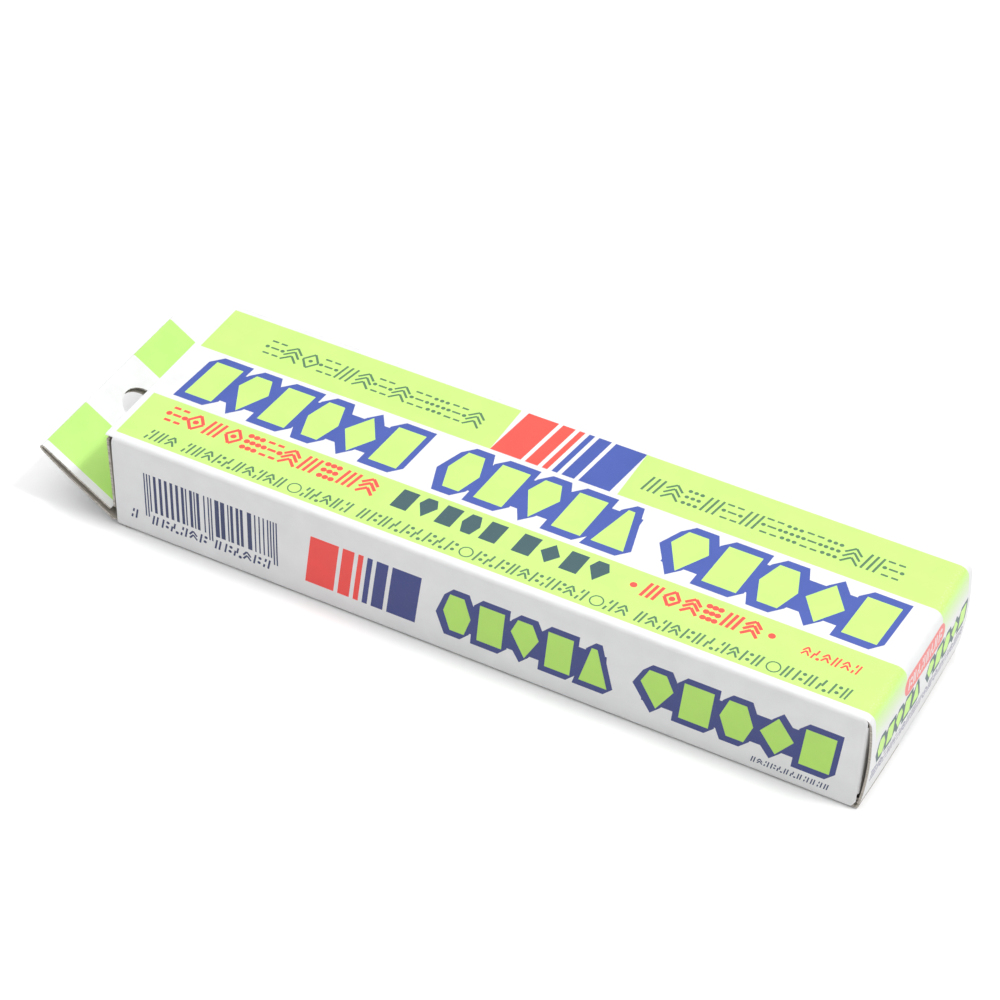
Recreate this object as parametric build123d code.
from build123d import *
import os
from math import asin, atan2, cos, degrees, hypot, radians, sin, tan

# Folding carton for two-part modelling putty, with a hang tab, two wrapped putty sticks and a leaflet.
# Millimetres. +Z is up and +X points at the lid end. The origin is the centre of the resting face.
# The carton is one sheet of board, divided here at its scores, so each panel and flap is its own solid.

# ---- driving dimensions ----
LENGTH = 132.0            # over the two end scores, along X
WIDTH = 40.0              # over the side panels, along Y
HEIGHT = 19.0             # resting face to top face
BOARD = 0.4               # thickness of the board
TUBE_FOLD = 0.9           # outer radius of the long folds
WALL_SHARE = 3.0          # how far into the section the mitres between two walls are cut
DUST_FOLD = 0.8           # outer radius of the dust flap folds
SLIDE_GAP = 0.15          # room between a tuck flap and the panel it slides along

# lid, which hinges on the top panel
LID_FOLD = 1.8            # outer radius of the lid's soft fold
LID_TUCK_FOLD = 0.9       # outer radius of the fold between lid and tuck flap
LID_FACE_X = 66.7         # outer face at the lid's top and foot
LID_BOW = 8.0             # degrees that the bowed lid leans out at its top and in at its foot
LID_WIDTH = 39.4
TUCK_WIDTH = 37.4
TUCK_REACH = 9.5          # straight length of a tuck flap
TUCK_TILT = 12.0          # degrees that a tuck flap leans into the carton
TUCK_CORNER = 5.0         # rounding of its free corners

# tail closure, which hinges at the hang tab's base
TAIL_FOOT_X = -66.62      # crease between the tab and the closure, at the printed face
CREASE_GAP = 0.2          # room between the tab's upper ply and that crease
CREASE_RISE = 0.1         # how far the crease lies above the upper ply's face
TAIL_TOP_X = -66.95
TAIL_FOLD = 0.9
TAIL_WIDTH = 39.2
TOP_OVERHANG_X = -67.0    # cut edge of the top panel at the tail end

# dust flaps
DUST_REACH = 14.0         # from the fold to the free edge
DUST_ROOT_LOW = 1.3       # height of the score's foot and head above the resting face
DUST_ROOT_HIGH = 17.3
DUST_TAPER = 4.6          # how much a dust flap narrows on the side of its closure's hinge
DUST_HINGE_ROOM = 1.3     # room that it leaves beside the tail closure's hinge
DUST_TUCK_ROOM = 3.2      # room that it leaves for the tuck flap at the other side

# hang tab: one strip folded back on itself
TAB_SLOPE = 37.6          # degrees above the table, of the outer ply
TAB_BASE_FOLD = 2.5       # outer radius of the bend at its base
TAB_FOLD = 0.6            # outer radius of the fold at its free edge
TAB_REACH = 16.5          # straight length of the outer ply
TAB_SPLAY = 4.0           # degrees between the two plies
TAB_FOLD_START_X = -65.2  # where the bottom panel starts to bend up
HOLE_RADIUS = 3.5
HOLE_FROM_EDGE = 7.2      # hole centre from the free edge

# glue seam and thumb notch
SEAM_WIDTH = 9.0
SEAM_END_TAPER = 4.0
SEAM_FOLD = 0.7
SEAM_EDGE_INSET = 0.1     # how far the bottom panel's cut edge stops short of the far side
BOTTOM_END_X = 66.3       # cut edge of the bottom panel under the lid
NOTCH_RADIUS = 4.0

# contents
STICK_LENGTH = 106.0
CONTENTS_X = -4.6         # middle of the contents, clear of the lid's tuck flap
STICK_WIDTH = 9.8
STICK_HEIGHT = 6.2
STICK_CORNER = 1.4
STICK_PITCH = 13.0        # centre to centre
FILM = 0.12
GUSSET = 2.4              # length over which the film closes down to its crimp
CRIMP_LENGTH = 3.2
CRIMP_THICKNESS = 0.3
LEAFLET_LENGTH = 108.0
LEAFLET_WIDTH = 33.0
PAPER = 0.12
LEAFLET_PITCH = 0.5       # centre to centre of the folded layers
LEAFLET_LAYERS = 4

HALF_L = LENGTH / 2
HALF_W = WIDTH / 2
parts = {}


def strip(path, width, plane, inward):
    """Board strip: an outer line thickened to one side, then spread evenly about the middle."""
    side = Side.LEFT if inward > 0 else Side.RIGHT
    outline = path.offset_2d(BOARD, side=side, kind=Kind.INTERSECTION)
    face = plane * make_face(outline.edges())
    return extrude(face, amount=width / 2, both=True)


def arc_about(center, radius, start, end):
    """Arc about a centre between two directions in degrees."""
    return CenterArc(center, radius, start, end - start)


def on_circle(center, radius, direction):
    angle = radians(direction)
    return (center[0] + radius * cos(angle), center[1] + radius * sin(angle))


def from_point(point, direction, distance):
    angle = radians(direction)
    return (point[0] + distance * cos(angle), point[1] + distance * sin(angle))


# Paths along X are drawn in XZ: the plane's local x is X, its local y is Z and it spreads along Y.
XZ = Plane(origin=(0, 0, 0), x_dir=(1, 0, 0), z_dir=(0, -1, 0))


# ---- tube ----
def tube_wall(side, x_low, x_high):
    """One wall of the tube with half of each long fold it meets."""
    outer = RectangleRounded(WIDTH, HEIGHT, TUBE_FOLD)
    inner = RectangleRounded(WIDTH - 2 * BOARD, HEIGHT - 2 * BOARD, TUBE_FOLD - BOARD)
    y, z = HALF_W + 1, HEIGHT / 2 + 1
    inner_y, inner_z = y - WALL_SHARE, z - WALL_SHARE
    corners = {
        "top": [(-y, z), (y, z), (inner_y, inner_z), (-inner_y, inner_z)],
        "near": [(-y, z), (-inner_y, inner_z), (-inner_y, -inner_z), (-y, -z)],
        "far": [(y, z), (y, -z), (inner_y, -inner_z), (inner_y, inner_z)],
        "bottom": [(-y, -z), (-inner_y, -inner_z), (inner_y, -inner_z), (y, -z)],
    }
    wedge = make_face(Polyline(*corners[side], close=True))
    section = (outer - inner) & wedge
    placed = Plane.YZ.offset(x_low) * Pos(0, HEIGHT / 2) * section
    return extrude(placed, amount=x_high - x_low)


LID_CENTER = (LID_FACE_X - LID_FOLD * cos(radians(LID_BOW)), HEIGHT - LID_FOLD)
LID_HINGE = on_circle(LID_CENTER, LID_FOLD, 45)
DUST_START_X = HALF_L - DUST_FOLD


def top_panel():
    wall = tube_wall("top", TOP_OVERHANG_X, LID_CENTER[0])
    half_fold = arc_about(LID_CENTER, LID_FOLD, 90, 45)
    return wall + strip(Wire([half_fold]), LID_WIDTH, XZ, -1)


def side_panel(side):
    """Side wall that ends in half of each dust flap fold."""
    sign = -1 if side == "near" else 1
    panel = tube_wall(side, -DUST_START_X, DUST_START_X)
    if side == "far":
        panel -= Pos(0, HALF_W, 0) * Box(LENGTH, 4 * SEAM_FOLD, 2 * (BOARD + SEAM_FOLD))
        panel += seam_fold(-45, 0)
    for end in (-1, 1):
        outer = Wire([dust_arc(end, sign, half="root")])
        ear = strip(outer, DUST_ROOT_HIGH - DUST_ROOT_LOW, Plane.XY, end * -sign)
        panel += Pos(0, 0, (DUST_ROOT_HIGH + DUST_ROOT_LOW) / 2) * ear
    return panel


def dust_center(end, sign):
    return (end * DUST_START_X, sign * (HALF_W - DUST_FOLD))


def dust_arc(end, sign, half):
    """Outer line of half a dust flap fold, walked from the side panel towards the flap."""
    along_side = 90.0 * sign
    towards_end = 0.0 if end > 0 else 180.0 * sign
    middle = (along_side + towards_end) / 2
    start, finish = (along_side, middle) if half == "root" else (middle, towards_end)
    return arc_about(dust_center(end, sign), DUST_FOLD, start, finish)


def seam_fold(start, finish):
    """Part of the fold between the far side panel and the glue flap."""
    center = (HALF_W - SEAM_FOLD, BOARD + SEAM_FOLD)
    arc = Wire([arc_about(center, SEAM_FOLD, start, finish)])
    outline = arc.offset_2d(BOARD, side=Side.LEFT, kind=Kind.INTERSECTION)
    placed = Plane.YZ.offset(-DUST_START_X) * make_face(outline.edges())
    return extrude(placed, amount=2 * DUST_START_X)


def bottom_panel():
    """Bottom wall: a bend up into the hang tab at one end and a thumb notch at the other."""
    panel = tube_wall("bottom", TAB_FOLD_START_X, BOTTOM_END_X)
    panel -= Pos(0, HALF_W, 0) * Box(2 * LENGTH, 2 * TUBE_FOLD, 2 * TUBE_FOLD)
    length = BOTTOM_END_X - TAB_FOLD_START_X
    flat_edge = 2 * TUBE_FOLD - SEAM_EDGE_INSET
    middle_y = HALF_W - SEAM_EDGE_INSET - flat_edge / 2
    panel += Pos(TAB_FOLD_START_X + length / 2, middle_y, BOARD / 2) * Box(length, flat_edge, BOARD)
    panel += strip(Wire([tab_bend("root")]), TAIL_WIDTH, XZ, -1)
    return panel - Pos(BOTTOM_END_X, 0, 0) * Cylinder(NOTCH_RADIUS, 4 * BOARD)


def glue_seam_flap():
    """Flap inside the bottom panel that holds the tube closed, with tapered ends."""
    y_fold = HALF_W - SEAM_FOLD
    half = DUST_START_X
    outline = Polyline(
        (-half, y_fold), (half, y_fold),
        (half - SEAM_END_TAPER, y_fold - SEAM_WIDTH), (-half + SEAM_END_TAPER, y_fold - SEAM_WIDTH),
        close=True,
    )
    flap = extrude(Plane.XY.offset(BOARD) * make_face(outline), amount=BOARD)
    return flap + seam_fold(-90, -45)


# ---- lid ----
LID_TUCK_CENTER = (
    LID_FACE_X - LID_TUCK_FOLD * cos(radians(LID_BOW)),
    2 * BOARD + SLIDE_GAP + LID_TUCK_FOLD,
)
LID_TUCK_MIDDLE = -45 - TUCK_TILT / 2
LID_TUCK_AXIS = on_circle(LID_TUCK_CENTER, LID_TUCK_FOLD - BOARD, LID_TUCK_MIDDLE)


def lid_panel():
    """Lid that bows outwards between its two folds, all in one smooth line."""
    top = on_circle(LID_CENTER, LID_FOLD, LID_BOW)
    foot = on_circle(LID_TUCK_CENTER, LID_TUCK_FOLD, -LID_BOW)
    bow_radius = (top[1] - foot[1]) / (2 * sin(radians(LID_BOW)))
    bow_center = (LID_FACE_X - bow_radius * cos(radians(LID_BOW)), (top[1] + foot[1]) / 2)
    path = Wire([
        arc_about(LID_CENTER, LID_FOLD, 45, LID_BOW),
        arc_about(bow_center, bow_radius, LID_BOW, -LID_BOW),
        arc_about(LID_TUCK_CENTER, LID_TUCK_FOLD, -LID_BOW, LID_TUCK_MIDDLE),
    ])
    return strip(path, LID_WIDTH, XZ, -1)


def tuck_outline(x_fold, x_tip):
    """Plan of a tuck flap with rounded free corners, wide enough to cut the strip with."""
    middle = (x_fold + x_tip) / 2
    plan = Pos(middle, 0) * Rectangle(abs(x_fold - x_tip), TUCK_WIDTH)
    free = [v for v in plan.vertices() if abs(v.X - x_tip) < 0.01]
    return extrude(fillet(free, TUCK_CORNER), amount=HEIGHT)


def lid_tuck_flap():
    end_direction = -90 - TUCK_TILT
    start = on_circle(LID_TUCK_CENTER, LID_TUCK_FOLD, end_direction)
    tip = from_point(start, 180 - TUCK_TILT, TUCK_REACH)
    path = Wire([
        arc_about(LID_TUCK_CENTER, LID_TUCK_FOLD, LID_TUCK_MIDDLE, end_direction),
        Line(start, tip),
    ])
    return strip(path, LID_WIDTH, XZ, -1) & tuck_outline(LID_FACE_X + 1, tip[0])


# ---- lines of the hang tab, which the tail closure grows out of ----
TAB_CENTER = (TAB_FOLD_START_X, TAB_BASE_FOLD)
TAB_HINGE = on_circle(TAB_CENTER, TAB_BASE_FOLD, -90 - TAB_SLOPE / 2)
TAB_LINE_START = on_circle(TAB_CENTER, TAB_BASE_FOLD, -90 - TAB_SLOPE)
TAB_UP = 180 - TAB_SLOPE
TAB_LINE_END = from_point(TAB_LINE_START, TAB_UP, TAB_REACH)
TAB_FOLD_CENTER = from_point(TAB_LINE_END, TAB_UP - 90, TAB_FOLD)
TAB_UPPER_START = on_circle(TAB_FOLD_CENTER, TAB_FOLD, TAB_UP - 90 + TAB_SPLAY)
TAB_UPPER_DIRECTION = -TAB_SLOPE + TAB_SPLAY
TAB_UPPER_REACH = (TAIL_FOOT_X - TAB_UPPER_START[0]) / cos(radians(TAB_UPPER_DIRECTION))
TAIL_FOOT = (
    TAIL_FOOT_X,
    from_point(TAB_UPPER_START, TAB_UPPER_DIRECTION, TAB_UPPER_REACH)[1] + CREASE_RISE,
)


# ---- tail closure ----
def tail_lean():
    """Degrees that the closure leans out, so that it runs smoothly into its tuck fold."""
    run = TAIL_TUCK_CENTER[0] - TAIL_FOOT[0]
    rise = TAIL_TUCK_CENTER[1] - TAIL_FOOT[1]
    return degrees(asin(TAIL_FOLD / hypot(run, rise))) - degrees(atan2(run, rise))


TAIL_TUCK_CENTER = (TAIL_TOP_X + TAIL_FOLD, HEIGHT - BOARD - SLIDE_GAP - TAIL_FOLD)
TAIL_FACE_DIRECTION = 180 + tail_lean()
TAIL_TUCK_MIDDLE = 135 - TUCK_TILT / 2
TAIL_TUCK_AXIS = on_circle(TAIL_TUCK_CENTER, TAIL_FOLD - BOARD, TAIL_TUCK_MIDDLE)


def tail_closure_panel():
    top = on_circle(TAIL_TUCK_CENTER, TAIL_FOLD, TAIL_FACE_DIRECTION)
    path = Wire([
        Line(TAIL_FOOT, top),
        arc_about(TAIL_TUCK_CENTER, TAIL_FOLD, TAIL_FACE_DIRECTION, TAIL_TUCK_MIDDLE),
    ])
    return strip(path, TAIL_WIDTH, XZ, -1)


def tail_tuck_flap():
    end_direction = 90 - TUCK_TILT
    start = on_circle(TAIL_TUCK_CENTER, TAIL_FOLD, end_direction)
    tip = from_point(start, -TUCK_TILT, TUCK_REACH)
    path = Wire([
        arc_about(TAIL_TUCK_CENTER, TAIL_FOLD, TAIL_TUCK_MIDDLE, end_direction),
        Line(start, tip),
    ])
    return strip(path, LID_WIDTH, XZ, -1) & tuck_outline(TAIL_TOP_X - 1, tip[0])


# ---- dust flaps ----
def dust_flap(end, sign):
    """Flap folded in behind a closure, tapered on the closure's hinge side."""
    center = dust_center(end, sign)
    face_x = end * HALF_L
    free_y = center[1] - sign * DUST_REACH
    path = Wire([dust_arc(end, sign, half="flap"), Line((face_x, center[1]), (face_x, free_y))])
    flap = Pos(0, 0, HEIGHT / 2) * strip(path, HEIGHT, Plane.XY, end * -sign)
    hinge_side, tuck_side, towards = DUST_ROOT_HIGH, DUST_TUCK_ROOM, -1
    if end < 0:
        hinge_side, tuck_side, towards = TAIL_FOOT[1] + DUST_HINGE_ROOM, HEIGHT - DUST_TUCK_ROOM, 1
    root_y = sign * HALF_W
    plan = Polyline(
        (root_y, hinge_side),
        (center[1] - sign * DUST_FOLD, hinge_side),
        (free_y, hinge_side + towards * DUST_TAPER),
        (free_y, tuck_side),
        (root_y, tuck_side),
        close=True,
    )
    cutter = extrude(Plane.YZ.offset(-LENGTH) * make_face(plan), amount=2 * LENGTH)
    return flap & cutter


# ---- hang tab ----
def tab_bend(half):
    """Outer line of the bend at the tab's base, walked towards the tab."""
    middle = -90 - TAB_SLOPE / 2
    if half == "root":
        return arc_about(TAB_CENTER, TAB_BASE_FOLD, -90, middle)
    return arc_about(TAB_CENTER, TAB_BASE_FOLD, middle, -90 - TAB_SLOPE)


# The hole is square to the upper ply and runs through both plies.
HOLE_AXIS = (-sin(radians(TAB_UPPER_DIRECTION)), 0, cos(radians(TAB_UPPER_DIRECTION)))
HOLE_ALONG_PLY = HOLE_FROM_EDGE - TAB_FOLD
HOLE_MOUTH = from_point(TAB_UPPER_START, TAB_UPPER_DIRECTION, HOLE_ALONG_PLY)
HOLE_DEPTH = 2 * TAB_FOLD + HOLE_ALONG_PLY * tan(radians(TAB_SPLAY))
HOLE_MIDDLE = from_point(HOLE_MOUTH, TAB_UPPER_DIRECTION - 90, HOLE_DEPTH / 2)


def hole_cutter():
    plane = Plane(origin=(HOLE_MIDDLE[0], 0, HOLE_MIDDLE[1]), x_dir=(0, 1, 0), z_dir=HOLE_AXIS)
    return plane * Cylinder(HOLE_RADIUS, 3 * HOLE_DEPTH)


def hang_tab_outer_ply():
    path = Wire([
        tab_bend("tab"),
        Line(TAB_LINE_START, TAB_LINE_END),
        arc_about(TAB_FOLD_CENTER, TAB_FOLD, TAB_UP + 90, TAB_UP),
    ])
    return strip(path, TAIL_WIDTH, XZ, -1) - hole_cutter()


def hang_tab_inner_ply():
    end = from_point(TAB_UPPER_START, TAB_UPPER_DIRECTION, TAB_UPPER_REACH - CREASE_GAP)
    path = Wire([
        arc_about(TAB_FOLD_CENTER, TAB_FOLD, TAB_UP, TAB_UP - 90 + TAB_SPLAY),
        Line(TAB_UPPER_START, end),
    ])
    return strip(path, TAIL_WIDTH, XZ, -1) - hole_cutter()


# ---- contents ----
STICK_Z = 2 * BOARD + FILM + STICK_HEIGHT / 2


def stick_section(extra):
    return RectangleRounded(STICK_WIDTH + 2 * extra, STICK_HEIGHT + 2 * extra, STICK_CORNER + extra)


def putty_stick(y):
    bar = extrude(Plane.YZ * stick_section(0), amount=STICK_LENGTH / 2, both=True)
    return Pos(CONTENTS_X, y, STICK_Z) * bar


def film_wrapper(y):
    """Clear film sleeve, drawn down to a flat crimp at each end."""
    sleeve = extrude(Plane.YZ * (stick_section(FILM) - stick_section(0)), amount=STICK_LENGTH / 2, both=True)
    wrapper = sleeve
    for end in (-1, 1):
        x_stick = end * STICK_LENGTH / 2
        x_crimp = x_stick + end * GUSSET
        sleeve_end = Plane.YZ.offset(x_stick) * stick_section(FILM)
        crimp_end = Plane.YZ.offset(x_crimp) * Rectangle(STICK_WIDTH, CRIMP_THICKNESS)
        gusset = loft([sleeve_end, crimp_end])
        crimp = Pos(x_crimp + end * CRIMP_LENGTH / 2, 0, 0) * Box(CRIMP_LENGTH, STICK_WIDTH, CRIMP_THICKNESS)
        wrapper += gusset + crimp
    return Pos(CONTENTS_X, y, STICK_Z) * wrapper


def instruction_leaflet():
    """Accordion-folded sheet lying on the wrapped sticks."""
    half = LEAFLET_WIDTH / 2
    bend = LEAFLET_PITCH / 2
    edges = []
    for layer in range(LEAFLET_LAYERS):
        z = layer * LEAFLET_PITCH
        way = 1 if layer % 2 == 0 else -1
        edges.append(Line((-way * half, z), (way * half, z)))
        if layer < LEAFLET_LAYERS - 1:
            first, last = (-90, 90) if way > 0 else (-90, -270)
            edges.append(arc_about((way * half, z + bend), bend, first, last))
    section = Wire(edges).offset_2d(PAPER / 2, side=Side.BOTH, kind=Kind.INTERSECTION)
    sheet = extrude(Plane.YZ * make_face(section.edges()), amount=LEAFLET_LENGTH / 2, both=True)
    return Pos(CONTENTS_X, 0, STICK_Z + STICK_HEIGHT / 2 + FILM + PAPER) * sheet


# ---- all nodes ----
parts["top_panel"] = top_panel()
parts["near_side_panel"] = side_panel("near")
parts["far_side_panel"] = side_panel("far")
parts["bottom_panel"] = bottom_panel()
parts["glue_seam_flap"] = glue_seam_flap()
parts["lid_panel"] = lid_panel()
parts["lid_tuck_flap"] = lid_tuck_flap()
parts["tail_closure_panel"] = tail_closure_panel()
parts["tail_tuck_flap"] = tail_tuck_flap()
for end_name, end in (("lid", 1), ("tail", -1)):
    for side_name, sign in (("near", -1), ("far", 1)):
        parts[f"{end_name}_dust_flap_{side_name}"] = dust_flap(end, sign)
parts["hang_tab_outer_ply"] = hang_tab_outer_ply()
parts["hang_tab_inner_ply"] = hang_tab_inner_ply()
for stick_name, y in (("base", -STICK_PITCH / 2), ("hardener", STICK_PITCH / 2)):
    parts[f"putty_stick_{stick_name}"] = putty_stick(y)
    parts[f"film_wrapper_{stick_name}"] = film_wrapper(y)
parts["instruction_leaflet"] = instruction_leaflet()

os.makedirs("parts", exist_ok=True)
for name, solid in parts.items():
    solid.label = name
    export_step(solid, f"parts/{name}.step")

print("lid hinge", LID_HINGE)
print("lid tuck axis", LID_TUCK_AXIS)
print("tail foot", TAIL_FOOT)
print("tail tuck axis", TAIL_TUCK_AXIS)
print("dust fold axis", on_circle(dust_center(1, -1), DUST_FOLD, -45))
print("tab hinge", TAB_HINGE)
print("hole axis", HOLE_AXIS)
print("hole middle", HOLE_MIDDLE)
print("hole length", (HOLE_DEPTH,))
